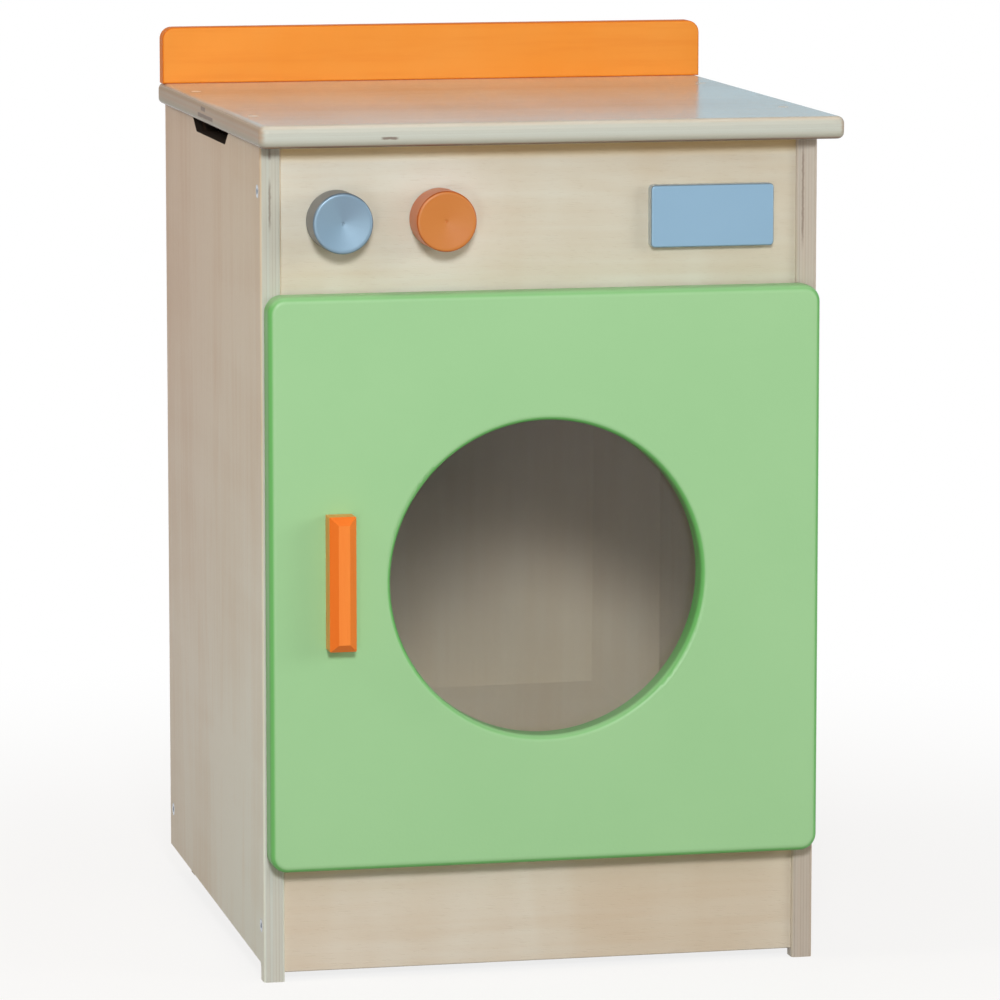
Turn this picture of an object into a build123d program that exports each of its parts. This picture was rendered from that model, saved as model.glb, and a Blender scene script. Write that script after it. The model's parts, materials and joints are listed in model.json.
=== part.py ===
import os

from build123d import *

# A toy washing machine in birch plywood, with a hinged front door and two turning knobs.
# Millimetres: X runs to the right, Y to the back and Z up, with the floor at Z = 0.
# Each size is written once here, and every piece takes its size and place from them.

# Side panels
cabinet_width = 400.0  # over the two side panels
cabinet_depth = 400.0  # front edge to back edge of a side panel
side_height = 591.0  # floor to the underside of the worktop
side_thickness = 15.0
side_edge_radius = 2.5  # rounding of the two front edges
foot_length = 12.0  # the foot left standing at the front end of the bottom edge
foot_height = 12.0
side_back_clearance = 22.0  # floor to the bottom edge's back end
foot_corner_radius = 4.0
slot_top_length = 152.0  # finger slot in the top edge, narrower at its bottom
slot_bottom_length = 120.0
slot_height = 10.0
slot_corner_radius = 4.0

# Panels between the sides
panel_thickness = 15.0  # control panel, plinth and rear rail
panel_setback = 4.0  # behind the side panels' front edges
panel_edge_radius = 1.0
plinth_clearance = 6.0  # gap between the plinth and the floor
compartment_floor = 96.5  # top of the bottom shelf and of the plinth
control_panel_height = 118.0  # its bottom edge is level with the divider shelf's underside
shelf_thickness = 15.0
back_thickness = 5.0
back_panel_clearance = 21.5  # floor to the back panel, which leaves the rear rail's foot free
back_clearance = 0.5  # around the back panel in its rebates
rebate_width = 7.0

# Worktop and backsplash
worktop_thickness = 16.0
worktop_front_overhang = 27.0
worktop_left_overhang = 5.0
worktop_right_overhang = 13.0
worktop_corner_radius = 6.0
worktop_top_radius = 5.0
worktop_bottom_radius = 4.5
backsplash_height = 42.0
backsplash_thickness = 15.0
backsplash_inset = 1.0  # from each end of the worktop
backsplash_corner_radius = 9.0
backsplash_edge_radius = 1.5

# Door
door_side_reveal = 2.0  # from the cabinet's outer faces
door_lap = 14.8  # over the control panel and over the plinth
door_gap = 1.5  # between the door's back and the side panels' front edges
door_thickness = 18.0
door_corner_radius = 12.0
door_front_radius = 5.0
door_back_radius = 1.2
window_radius = 112.0
window_front_radius = 4.5
pane_size = 262.0
pane_thickness = 3.0
pane_corner_radius = 12.0
pane_screw_inset = 10.0

# Door handle
handle_width = 19.0
handle_height = 95.0
handle_depth = 20.0
handle_bevel = 5.5
handle_edge_radius = 0.8
handle_inset = 49.0  # its middle, from the door's left edge
handle_rise = 3.0  # its middle, above the door's middle
handle_screw_spacing = 64.0

# Hinges: two butt hinges on the right, each with knuckles on one pin
hinge_length = 50.0
hinge_from_door_end = 60.0  # hinge's middle to the door's top or bottom edge
hinge_axis_inset = 0.05  # pin axis inside the cabinet's right face
hinge_leaf_width = 14.0
hinge_leaf_thickness = 1.2
hinge_leaf_corner = 2.0
knuckle_count = 5
knuckle_radius = 1.6
knuckle_gap = 0.3
hinge_pin_radius = 0.8
hinge_pin_clearance = 0.05
hinge_pin_head_radius = 1.3
hinge_pin_head_thickness = 0.8
mortise_clearance = 0.2
hinge_screw_spacing = 30.0

# Magnetic catch, behind the door's handle side
catch_width = 14.0
catch_depth = 16.0
catch_block_height = 36.0
catch_ear_height = 12.0  # each of the two ears that take a screw
catch_ear_thickness = 4.0
magnet_width = 6.0
magnet_depth = 10.0
magnet_height = 28.0
pole_thickness = 1.5
striker_width = 12.0
striker_height = 40.0
striker_thickness = 1.2
striker_corner_radius = 2.0

# Knobs and the display block on the control panel
knob_radius = 21.3
knob_depth = 27.0
knob_front_radius = 1.8
knob_back_chamfer = 0.8
knob_rim_width = 2.6
knob_dish_depth = 1.8
knob_dimple_radius = 1.4
knob_dimple_depth = 0.7
knob_height = 65.5  # its axis, above the control panel's bottom edge
silver_knob_inset = 39.0  # its axis, from the left side panel's inner face
knob_spacing = 73.3
spindle_radius = 3.0
spindle_bore_depth = 16.0  # of the blind hole in the knob's back
spindle_tail = 2.0  # beyond the nut
spindle_chamfer = 0.6
running_clearance = 0.05  # around each spindle
running_gap = 0.3  # in front of and behind the panel
washer_radius = 9.0
washer_thickness = 1.2
nut_across_flats = 10.0
nut_height = 4.2
nut_collar_radius = 4.2
nut_collar_height = 1.6
display_width = 89.0
display_height = 44.0
display_thickness = 9.0
display_corner_radius = 3.0
display_edge_radius = 1.4
display_inset = 18.0  # from the right side panel's inner face
display_rise = 64.0  # its middle, above the control panel's bottom edge
display_screw_spacing = 56.0

# Fasteners
hole_clearance = 0.05  # around every screw, dowel and cap
tip_factor = 1.5  # length of a screw's point, in shank radii
pan_flat_share = 0.6  # flat top of a pan head, as a share of its radius
pan_side_share = 0.5  # straight side of a pan head, as a share of its height
side_screw_radius = 3.0
side_screw_head_radius = 5.0
side_screw_length = 50.0
top_screw_drop = 32.0  # front top screws, below the side panels' top edge
low_screw_height = 39.0  # screws into the plinth, above the floor
rear_screw_height = 51.0  # screws into the rear rail, above the floor
worktop_screw_radius = 2.2
worktop_screw_head_radius = 3.7
worktop_screw_length = 42.0
worktop_screw_front = 66.0  # behind the side panels' front edges
worktop_screw_back = 304.0
cap_radius = 4.0
cap_thickness = 3.0
cap_chamfer = 0.3
back_screw_radius = 1.5
back_screw_head_radius = 2.9
back_screw_length = 16.0
back_screw_count = 4  # up each side
back_screw_end_margin = 40.0
back_screw_middle_spacing = 180.0  # across each shelf
door_screw_radius = 1.5  # hinges, catch and striker
door_screw_head_radius = 2.6
door_screw_length = 12.0
pane_screw_radius = 1.5
pane_screw_head_radius = 3.4
pane_screw_head_height = 2.0
pane_screw_bite = 10.0  # its length inside the door
pane_hole_clearance = 0.3
handle_screw_radius = 2.0
handle_screw_head_radius = 3.8
handle_screw_bite = 12.0  # its length inside the handle
display_screw_radius = 1.5
display_screw_head_radius = 2.9
display_screw_bite = 6.0
dowel_radius = 4.0
dowel_length = 30.0
dowel_depth = 10.0  # in the side panels and in the worktop
dowel_chamfer = 1.0
shelf_dowel_setback = 60.0  # from the front and the back edge of a shelf
panel_dowel_rise = 24.0  # above the bottom edge of the control panel
plinth_dowel_drop = 22.0  # below the top edge of the plinth
rail_dowel_drop = 14.0  # below the top edge of the rear rail
backsplash_dowel_spacing = 150.0
backsplash_dowel_count = 3

# For building only
cutting_length = 60.0  # of a round tool that passes right through a piece
tolerance = 1e-6

# Directions that a flat piece or a screw head faces
front, back = (0, -1, 0), (0, 1, 0)
left, right = (-1, 0, 0), (1, 0, 0)
up = (0, 0, 1)

# Places that several pieces share
half_width = cabinet_width / 2
inner_half = half_width - side_thickness
side_middle = half_width - side_thickness / 2
compartment_ceiling = side_height - control_panel_height
panel_front = panel_setback
panel_back = panel_setback + panel_thickness
panel_middle = panel_setback + panel_thickness / 2
shelf_back = cabinet_depth - back_thickness
rail_top = compartment_floor - shelf_thickness
rail_middle = shelf_back - panel_thickness / 2
worktop_top = side_height + worktop_thickness
worktop_left = -half_width - worktop_left_overhang
worktop_right = half_width + worktop_right_overhang
door_left = door_side_reveal - half_width
door_width = cabinet_width - 2 * door_side_reveal
door_bottom = compartment_floor - door_lap
door_top = compartment_ceiling + door_lap
door_height = door_top - door_bottom
door_middle = (door_bottom + door_top) / 2
door_back = -door_gap
door_front = door_back - door_thickness
handle_x = door_left + handle_inset
handle_z = door_middle + handle_rise
hinge_axis_x = half_width - hinge_axis_inset
hinge_axis_y = -(door_gap + hinge_leaf_thickness) / 2
hinge_heights = {"upper": door_top - hinge_from_door_end, "lower": door_bottom + hinge_from_door_end}
catch_x = catch_width / 2 - inner_half
knob_z = compartment_ceiling + knob_height
silver_knob_x = silver_knob_inset - inner_half
knob_places = {"silver_knob": silver_knob_x, "orange_knob": silver_knob_x + knob_spacing}
display_x = inner_half - display_inset - display_width / 2
display_z = compartment_ceiling + display_rise

# The finished model's origin: the middle of the room it takes up, on the floor
foremost = min(door_front - handle_depth, -worktop_front_overhang)
middle_x = (worktop_left + worktop_right) / 2
middle_y = (foremost + cabinet_depth) / 2


def flat(facing, point):
    # A work plane that faces the given way, with its own Y kept upright where it can be.
    if facing in (front, back):
        across = (-facing[1], 0, 0)
    elif facing in (left, right):
        across = (0, facing[0], 0)
    else:
        across = (1, 0, 0)
    return Plane(origin=point, x_dir=across, z_dir=facing)


def slab(low, high):
    # A plain block between two opposite corners.
    size = [b - a for a, b in zip(low, high)]
    middle = [(a + b) / 2 for a, b in zip(low, high)]
    return Pos(*middle) * Box(*size)


def turned(*points):
    # A solid of revolution about Z from half its outline, given as (radius, height) points.
    outline = Plane.XZ * make_face(Polyline(*points, close=True))
    return revolve(outline, Axis.Z)


def countersunk_screw(radius, head_radius, length):
    # Head up with its flat face at Z = 0, and the point downwards.
    return turned(
        (0, 0),
        (head_radius, 0),
        (radius, radius - head_radius),
        (radius, tip_factor * radius - length),
        (0, -length),
    )


def countersunk_hole(radius, head_radius, length):
    # The room for such a screw, a little wider all round.
    return countersunk_screw(
        radius + hole_clearance, head_radius + hole_clearance, length + hole_clearance
    )


def pan_screw(radius, head_radius, head_height, length):
    # The underside of the head is at Z = 0.
    return turned(
        (0, head_height),
        (head_radius * pan_flat_share, head_height),
        (head_radius, head_height * pan_side_share),
        (head_radius, 0),
        (radius, 0),
        (radius, tip_factor * radius - length),
        (0, -length),
    )


def dowel():
    # Pushed into its seat by dowel_depth, and standing up out of it.
    peg = Cylinder(dowel_radius, dowel_length)
    peg = chamfer(peg.edges().filter_by(GeomType.CIRCLE), dowel_chamfer)
    return Pos(0, 0, dowel_length / 2 - dowel_depth) * peg


def dowel_hole():
    room = Cylinder(dowel_radius + hole_clearance, dowel_length + 2 * hole_clearance)
    return Pos(0, 0, dowel_length / 2 - dowel_depth) * room


def at(seats, form):
    # One copy of a form on every seat.
    return [seat * form for seat in seats]


def drilled(piece, seats, form):
    for tool in at(seats, form):
        piece = piece - tool
    return piece


def group(forms):
    # Separate solids that make one piece of the list, such as equal screws.
    return Compound([solid for form in forms for solid in form.solids()])


# Seats of the fasteners, each facing the way its head or its free end points
side_screw_spots = [
    (panel_middle, side_height - top_screw_drop),
    (panel_middle, low_screw_height),
    (rail_middle, rear_screw_height),
]
side_screw_seats = []
for y, z in side_screw_spots:
    side_screw_seats.append(flat(left, (-half_width, y, z)))
    side_screw_seats.append(flat(right, (half_width, y, z)))

worktop_screw_seats = []
for x in (-side_middle, side_middle):
    for y in (worktop_screw_front, worktop_screw_back):
        worktop_screw_seats.append(flat(up, (x, y, worktop_top - cap_thickness)))

dowel_spots = [
    (panel_middle, compartment_ceiling + panel_dowel_rise),
    (panel_middle, compartment_floor - plinth_dowel_drop),
    (rail_middle, rail_top - rail_dowel_drop),
]
for shelf_z in (compartment_floor - shelf_thickness / 2, compartment_ceiling + shelf_thickness / 2):
    dowel_spots.append((panel_back + shelf_dowel_setback, shelf_z))
    dowel_spots.append((shelf_back - shelf_dowel_setback, shelf_z))
frame_dowel_seats = []
for y, z in dowel_spots:
    frame_dowel_seats.append(flat(right, (-inner_half, y, z)))
    frame_dowel_seats.append(flat(left, (inner_half, y, z)))

backsplash_y = cabinet_depth - backsplash_thickness / 2
first_dowel_x = middle_x - backsplash_dowel_spacing * (backsplash_dowel_count - 1) / 2
backsplash_dowel_seats = []
for index in range(backsplash_dowel_count):
    x = first_dowel_x + index * backsplash_dowel_spacing
    backsplash_dowel_seats.append(flat(up, (x, backsplash_y, worktop_top)))

back_panel_top = side_height - back_clearance
back_screw_x = inner_half + rebate_width / 2
first_back_screw = back_panel_clearance + back_screw_end_margin
last_back_screw = back_panel_top - back_screw_end_margin
back_screw_step = (last_back_screw - first_back_screw) / (back_screw_count - 1)
back_screw_seats = []
for x in (-back_screw_x, back_screw_x):
    for index in range(back_screw_count):
        z = first_back_screw + index * back_screw_step
        back_screw_seats.append(flat(back, (x, cabinet_depth, z)))
for x in (-back_screw_middle_spacing / 2, back_screw_middle_spacing / 2):
    for z in (compartment_floor - shelf_thickness / 2, compartment_ceiling + shelf_thickness / 2):
        back_screw_seats.append(flat(back, (x, cabinet_depth, z)))

hinge_frame_screw_seats = []
hinge_door_screw_seats = []
for height in hinge_heights.values():
    for z in (height - hinge_screw_spacing / 2, height + hinge_screw_spacing / 2):
        hinge_frame_screw_seats.append(flat(front, (side_middle, -hinge_leaf_thickness, z)))
        hinge_door_screw_seats.append(flat(back, (side_middle, door_back, z)))

ear_middle = (catch_block_height + catch_ear_height) / 2
catch_screw_seats = [
    flat(right, (catch_ear_thickness - inner_half, catch_depth / 2, handle_z - ear_middle)),
    flat(right, (catch_ear_thickness - inner_half, catch_depth / 2, handle_z + ear_middle)),
]
striker_back = door_back + striker_thickness
striker_screw_seats = [flat(back, (catch_x, striker_back, handle_z))]

handle_screw_seats = [
    flat(back, (handle_x, door_back, handle_z - handle_screw_spacing / 2)),
    flat(back, (handle_x, door_back, handle_z + handle_screw_spacing / 2)),
]
handle_screw_length = door_thickness + handle_screw_bite

pane_back = door_back + pane_thickness
pane_screw_reach = pane_size / 2 - pane_screw_inset
pane_screw_length = pane_thickness + pane_screw_bite
pane_screw_seats = []
for x in (-pane_screw_reach, pane_screw_reach):
    for z in (door_middle - pane_screw_reach, door_middle + pane_screw_reach):
        pane_screw_seats.append(flat(back, (x, pane_back, z)))

display_screw_seats = [
    flat(back, (display_x - display_screw_spacing / 2, panel_back, display_z)),
    flat(back, (display_x + display_screw_spacing / 2, panel_back, display_z)),
]
display_screw_length = panel_thickness + display_screw_bite

# Each kind of screw, and the hole that it needs
side_screw_sizes = (side_screw_radius, side_screw_head_radius, side_screw_length)
side_screw = countersunk_screw(*side_screw_sizes)
side_screw_hole = countersunk_hole(*side_screw_sizes)
worktop_screw_sizes = (worktop_screw_radius, worktop_screw_head_radius, worktop_screw_length)
worktop_screw = countersunk_screw(*worktop_screw_sizes)
worktop_hole = countersunk_hole(*worktop_screw_sizes)
back_screw_sizes = (back_screw_radius, back_screw_head_radius, back_screw_length)
back_screw = countersunk_screw(*back_screw_sizes)
back_hole = countersunk_hole(*back_screw_sizes)
door_screw_sizes = (door_screw_radius, door_screw_head_radius, door_screw_length)
door_screw = countersunk_screw(*door_screw_sizes)
door_hole = countersunk_hole(*door_screw_sizes)
handle_screw_sizes = (handle_screw_radius, handle_screw_head_radius, handle_screw_length)
handle_screw = countersunk_screw(*handle_screw_sizes)
handle_hole = countersunk_hole(*handle_screw_sizes)
display_screw_sizes = (display_screw_radius, display_screw_head_radius, display_screw_length)
display_screw = countersunk_screw(*display_screw_sizes)
display_hole = countersunk_hole(*display_screw_sizes)
pane_screw = pan_screw(
    pane_screw_radius, pane_screw_head_radius, pane_screw_head_height, pane_screw_length
)
pane_screw_hole = Cylinder(pane_screw_radius + hole_clearance, 2 * (pane_screw_length + hole_clearance))


def side_panel(side):
    # side is -1 on the left and 1 on the right. The outline is drawn in Y and Z.
    slot_middle = cabinet_depth / 2
    slot_floor = side_height - slot_height
    outline = make_face(
        Polyline(
            (0, 0),
            (foot_length, 0),
            (foot_length, foot_height),
            (cabinet_depth, side_back_clearance),
            (cabinet_depth, side_height),
            (slot_middle + slot_top_length / 2, side_height),
            (slot_middle + slot_bottom_length / 2, slot_floor),
            (slot_middle - slot_bottom_length / 2, slot_floor),
            (slot_middle - slot_top_length / 2, side_height),
            (0, side_height),
            close=True,
        )
    )
    slot_corners = [v for v in outline.vertices() if abs(v.Y - slot_floor) < tolerance]
    outline = fillet(slot_corners, slot_corner_radius)
    foot_corners = [v for v in outline.vertices() if abs(v.Y - foot_height) < tolerance]
    outline = fillet(foot_corners, foot_corner_radius)
    low_x = -half_width if side < 0 else inner_half
    panel = Pos(low_x, 0, 0) * extrude(Plane.YZ * outline, side_thickness)
    front_edges = panel.faces().sort_by(Axis.Y)[0].edges().filter_by(Axis.Z)
    panel = fillet(front_edges, side_edge_radius)
    rebate_x = sorted((side * inner_half, side * (inner_half + rebate_width)))
    panel -= slab(
        (rebate_x[0], shelf_back, back_panel_clearance), (rebate_x[1], cabinet_depth, side_height)
    )
    panel = drilled(panel, side_screw_seats, side_screw_hole)
    panel = drilled(panel, frame_dowel_seats, dowel_hole())
    panel = drilled(panel, worktop_screw_seats, worktop_hole)
    panel = drilled(panel, back_screw_seats, back_hole)
    if side > 0:
        panel = drilled(panel, hinge_frame_screw_seats, door_hole)
    else:
        panel = drilled(panel, catch_screw_seats, door_hole)
    return panel


def cross_panel(bottom, top, front_face):
    # A board that stands between the side panels, with its long front edges eased.
    board = slab((-inner_half, front_face, bottom), (inner_half, front_face + panel_thickness, top))
    long_edges = board.faces().sort_by(Axis.Y)[0].edges().filter_by(Axis.X)
    board = fillet(long_edges, panel_edge_radius)
    board = drilled(board, side_screw_seats, side_screw_hole)
    return drilled(board, frame_dowel_seats, dowel_hole())


def control_panel():
    board = cross_panel(compartment_ceiling, side_height, panel_front)
    spindle_hole = Cylinder(spindle_radius + running_clearance, cutting_length)
    for x in knob_places.values():
        board -= flat(front, (x, panel_middle, knob_z)) * spindle_hole
    return drilled(board, display_screw_seats, display_hole)


def shelf(top):
    board = slab((-inner_half, panel_back, top - shelf_thickness), (inner_half, shelf_back, top))
    board = drilled(board, frame_dowel_seats, dowel_hole())
    return drilled(board, back_screw_seats, back_hole)


def back_panel():
    half = inner_half + rebate_width - back_clearance
    board = slab((-half, shelf_back, back_panel_clearance), (half, cabinet_depth, back_panel_top))
    return drilled(board, back_screw_seats, back_hole)


def worktop():
    top = slab(
        (worktop_left, -worktop_front_overhang, side_height), (worktop_right, cabinet_depth, worktop_top)
    )
    front_corners = top.edges().filter_by(Axis.Z).sort_by(Axis.Y)[:2]
    top = fillet(front_corners, worktop_corner_radius)
    upper_rim = top.faces().sort_by(Axis.Z)[-1].edges()
    top = fillet(upper_rim.sort_by(Axis.Y)[:-1], worktop_top_radius)
    lower_rim = top.faces().sort_by(Axis.Z)[0].edges()
    top = fillet(lower_rim.sort_by(Axis.Y)[:-1], worktop_bottom_radius)
    top = drilled(top, worktop_screw_seats, worktop_hole)
    cap_hole = Pos(0, 0, cap_thickness / 2) * Cylinder(cap_radius + hole_clearance, cap_thickness)
    top = drilled(top, worktop_screw_seats, cap_hole)
    return drilled(top, backsplash_dowel_seats, dowel_hole())


def backsplash():
    length = worktop_right - worktop_left - 2 * backsplash_inset
    plane = flat(front, (middle_x, cabinet_depth, worktop_top + backsplash_height / 2))
    outline = Rectangle(length, backsplash_height)
    outline = fillet(outline.vertices().sort_by(Axis.Y)[-2:], backsplash_corner_radius)
    board = extrude(plane * outline, backsplash_thickness)
    front_rim = board.faces().sort_by(Axis.Y)[0].edges()
    board = fillet(front_rim, backsplash_edge_radius)
    return drilled(board, backsplash_dowel_seats, dowel_hole())


def screw_cap():
    cap = Cylinder(cap_radius, cap_thickness)
    cap = chamfer(cap.faces().sort_by(Axis.Z)[-1].edges(), cap_chamfer)
    return Pos(0, 0, cap_thickness / 2) * cap


def display_block():
    face = flat(front, (display_x, panel_front, display_z))
    block = extrude(
        face * RectangleRounded(display_width, display_height, display_corner_radius), display_thickness
    )
    block = fillet(block.faces().sort_by(Axis.Y)[0].edges(), display_edge_radius)
    return drilled(block, display_screw_seats, display_hole)


def hinge_bands(first):
    # The heights of every second knuckle, from the one that is asked for.
    pitch = hinge_length / knuckle_count
    return [-hinge_length / 2 + pitch * (index + 0.5) for index in range(first, knuckle_count, 2)]


def hinge_leaf(first, plate_low, plate_high, screw_seats, height):
    # Built on the pin's axis. The plate runs to the left between two depths, and the knuckles
    # that belong to the other leaf are cut out of its edge.
    pitch = hinge_length / knuckle_count
    end = (hinge_length - knuckle_gap) / 2
    plate = slab((-hinge_leaf_width, plate_low, -end), (0, plate_high, end))
    free_corners = plate.edges().filter_by(Axis.Y).sort_by(Axis.X)[:2]
    leaf = fillet(free_corners, hinge_leaf_corner)
    barrel = Cylinder(knuckle_radius, pitch - knuckle_gap)
    clearance_barrel = Cylinder(knuckle_radius + knuckle_gap, pitch + knuckle_gap)
    for z in hinge_bands(1 - first):
        leaf -= Pos(0, 0, z) * clearance_barrel
    for z in hinge_bands(first):
        leaf += Pos(0, 0, z) * barrel
    leaf -= Cylinder(hinge_pin_radius + hinge_pin_clearance, cutting_length)
    leaf = Pos(hinge_axis_x, hinge_axis_y, height) * leaf
    return drilled(leaf, screw_seats, door_hole)


def frame_leaf(height):
    # Screwed to the right side panel's front edge.
    low = -hinge_leaf_thickness - hinge_axis_y
    return hinge_leaf(0, low, -hinge_axis_y, hinge_frame_screw_seats, height)


def door_leaf(height):
    # Let into the back of the door, flush with it.
    high = door_back - hinge_axis_y
    return hinge_leaf(1, high - hinge_leaf_thickness, high, hinge_door_screw_seats, height)


def hinge_pin(height):
    # A peened pin: its two heads lie on the outer faces of the end knuckles.
    reach = (hinge_length - knuckle_gap) / 2
    pin = Cylinder(hinge_pin_radius, 2 * reach + 2 * hinge_pin_head_thickness)
    head = Cylinder(hinge_pin_head_radius, hinge_pin_head_thickness)
    for end in (-1, 1):
        pin += Pos(0, 0, end * (reach + hinge_pin_head_thickness / 2)) * head
    return Pos(hinge_axis_x, hinge_axis_y, height) * pin


def door_panel():
    sheet = flat(front, (0, door_back, door_middle))
    outline = RectangleRounded(door_width, door_height, door_corner_radius) - Circle(window_radius)
    door = extrude(sheet * outline, door_thickness)
    front_face = door.faces().sort_by(Axis.Y)[0]
    door = fillet(front_face.outer_wire().edges(), door_front_radius)
    front_face = door.faces().sort_by(Axis.Y)[0]
    door = fillet(front_face.inner_wires()[0].edges(), window_front_radius)
    back_face = door.faces().sort_by(Axis.Y)[-1]
    door = fillet(back_face.outer_wire().edges(), door_back_radius)
    mortise_left = hinge_axis_x - hinge_leaf_width - mortise_clearance
    for height in hinge_heights.values():
        reach = hinge_length / 2 + mortise_clearance
        door -= slab(
            (mortise_left, door_back - hinge_leaf_thickness, height - reach),
            (hinge_axis_x, 0, height + reach),
        )
    door = drilled(door, hinge_door_screw_seats, door_hole)
    door = drilled(door, striker_screw_seats, door_hole)
    door = drilled(door, pane_screw_seats, pane_screw_hole)
    return drilled(door, handle_screw_seats, handle_hole)


def window_pane():
    sheet = flat(back, (0, door_back, door_middle))
    pane = extrude(sheet * RectangleRounded(pane_size, pane_size, pane_corner_radius), pane_thickness)
    clearance_hole = Cylinder(pane_screw_radius + pane_hole_clearance, cutting_length)
    return drilled(pane, pane_screw_seats, clearance_hole)


def door_handle():
    # A square bar whose front edges and ends are planed off to one hipped face.
    sheet = flat(front, (handle_x, door_front, handle_z))
    bar = extrude(sheet * Rectangle(handle_width, handle_height), handle_depth)
    bar = chamfer(bar.faces().sort_by(Axis.Y)[0].edges(), handle_bevel)
    upright = bar.edges().filter_by(Axis.Y)
    bar = fillet(upright, handle_edge_radius)
    return drilled(bar, handle_screw_seats, handle_hole)


def catch_housing():
    # A block for the magnet, open to the front, between two ears with a screw each.
    top = catch_block_height / 2
    inner = -inner_half
    block = slab((inner, 0, handle_z - top), (inner + catch_width, catch_depth, handle_z + top))
    ear = top + catch_ear_height
    strip = slab((inner, 0, handle_z - ear), (inner + catch_ear_thickness, catch_depth, handle_z + ear))
    pocket_half = magnet_width / 2 + pole_thickness
    pocket = slab(
        (catch_x - pocket_half, 0, handle_z - magnet_height / 2),
        (catch_x + pocket_half, magnet_depth, handle_z + magnet_height / 2),
    )
    return drilled(block + strip - pocket, catch_screw_seats, door_hole)


def catch_magnet():
    # The magnet lies between two steel pole plates.
    half = magnet_width / 2
    walls = [-half - pole_thickness, -half, half, half + pole_thickness]
    bars = []
    for low, high in zip(walls, walls[1:]):
        bars.append(
            slab(
                (catch_x + low, 0, handle_z - magnet_height / 2),
                (catch_x + high, magnet_depth, handle_z + magnet_height / 2),
            )
        )
    return group(bars)


def striker_plate():
    sheet = flat(back, (catch_x, door_back, handle_z))
    outline = RectangleRounded(striker_width, striker_height, striker_corner_radius)
    plate = extrude(sheet * outline, striker_thickness)
    return drilled(plate, striker_screw_seats, door_hole)


# Along a knob's axis, from the panel's front face outwards and from its back face inwards
knob_back = panel_front - washer_thickness - running_gap
washer_front = panel_back + running_gap
nut_front = washer_front + washer_thickness
spindle_front = knob_back - spindle_bore_depth
spindle_back = nut_front + nut_height + nut_collar_height + spindle_tail


def knob(x):
    # Turned on a lathe: a straight wall, a rim, and a shallow dish with a dimple at its middle.
    dish_floor = knob_depth - knob_dish_depth
    body = turned(
        (0, 0),
        (knob_radius, 0),
        (knob_radius, knob_depth),
        (knob_radius - knob_rim_width, knob_depth),
        (knob_dimple_radius, dish_floor),
        (0, dish_floor - knob_dimple_depth),
    )
    circles = body.edges().filter_by(GeomType.CIRCLE)
    widest = [e for e in circles if abs(e.radius - knob_radius) < tolerance]
    lower, upper = sorted(widest, key=lambda e: e.center().Z)
    body = fillet(upper, knob_front_radius)
    circles = body.edges().filter_by(GeomType.CIRCLE)
    base = [e for e in circles if abs(e.center().Z) < tolerance]
    body = chamfer(base, knob_back_chamfer)
    bore = Cylinder(spindle_radius + hole_clearance, spindle_bore_depth)
    body -= Pos(0, 0, spindle_bore_depth / 2) * bore
    return flat(front, (x, knob_back, knob_z)) * body


def spindle(x):
    length = spindle_back - spindle_front
    rod = Cylinder(spindle_radius, length)
    rod = chamfer(rod.edges().filter_by(GeomType.CIRCLE), spindle_chamfer)
    return flat(front, (x, (spindle_front + spindle_back) / 2, knob_z)) * rod


def washer(x, low_y):
    ring = Cylinder(washer_radius, washer_thickness)
    ring -= Cylinder(spindle_radius + running_clearance, cutting_length)
    return flat(front, (x, low_y + washer_thickness / 2, knob_z)) * ring


def lock_nut(x):
    # A hexagon with a round collar behind it that holds the locking ring.
    hexagon = extrude(RegularPolygon(nut_across_flats / 2, 6, major_radius=False), nut_height)
    collar = Pos(0, 0, nut_height + nut_collar_height / 2) * Cylinder(nut_collar_radius, nut_collar_height)
    nut = hexagon + collar
    nut -= Cylinder(spindle_radius + hole_clearance, cutting_length)
    return flat(back, (x, nut_front, knob_z)) * nut


pieces = {
    "left_side_panel": side_panel(-1),
    "right_side_panel": side_panel(1),
    "control_panel": control_panel(),
    "divider_shelf": shelf(compartment_ceiling + shelf_thickness),
    "bottom_shelf": shelf(compartment_floor),
    "plinth": cross_panel(plinth_clearance, compartment_floor, panel_front),
    "rear_rail": cross_panel(0, rail_top, shelf_back - panel_thickness),
    "back_panel": back_panel(),
    "worktop": worktop(),
    "backsplash": backsplash(),
    "display_block": display_block(),
    "side_screws": group(at(side_screw_seats, side_screw)),
    "worktop_screws": group(at(worktop_screw_seats, worktop_screw)),
    "worktop_screw_caps": group(at(worktop_screw_seats, screw_cap())),
    "frame_dowels": group(at(frame_dowel_seats, dowel())),
    "backsplash_dowels": group(at(backsplash_dowel_seats, dowel())),
    "back_panel_screws": group(at(back_screw_seats, back_screw)),
    "display_screws": group(at(display_screw_seats, display_screw)),
    "knob_spacers": group([washer(x, panel_front - washer_thickness) for x in knob_places.values()]),
    "catch_housing": catch_housing(),
    "catch_magnet": catch_magnet(),
    "catch_screws": group(at(catch_screw_seats, door_screw)),
    "hinge_frame_screws": group(at(hinge_frame_screw_seats, door_screw)),
    "door_panel": door_panel(),
    "window_pane": window_pane(),
    "pane_screws": group(at(pane_screw_seats, pane_screw)),
    "door_handle": door_handle(),
    "handle_screws": group(at(handle_screw_seats, handle_screw)),
    "hinge_door_screws": group(at(hinge_door_screw_seats, door_screw)),
    "striker_plate": striker_plate(),
    "striker_screw": group(at(striker_screw_seats, door_screw)),
}
for level, height in hinge_heights.items():
    pieces[level + "_hinge_frame_leaf"] = frame_leaf(height)
    pieces[level + "_hinge_door_leaf"] = door_leaf(height)
    pieces[level + "_hinge_pin"] = hinge_pin(height)
for name, x in knob_places.items():
    pieces[name] = knob(x)
    pieces[name + "_spindle"] = spindle(x)
    pieces[name + "_washer"] = washer(x, washer_front)
    pieces[name + "_nut"] = lock_nut(x)

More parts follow.
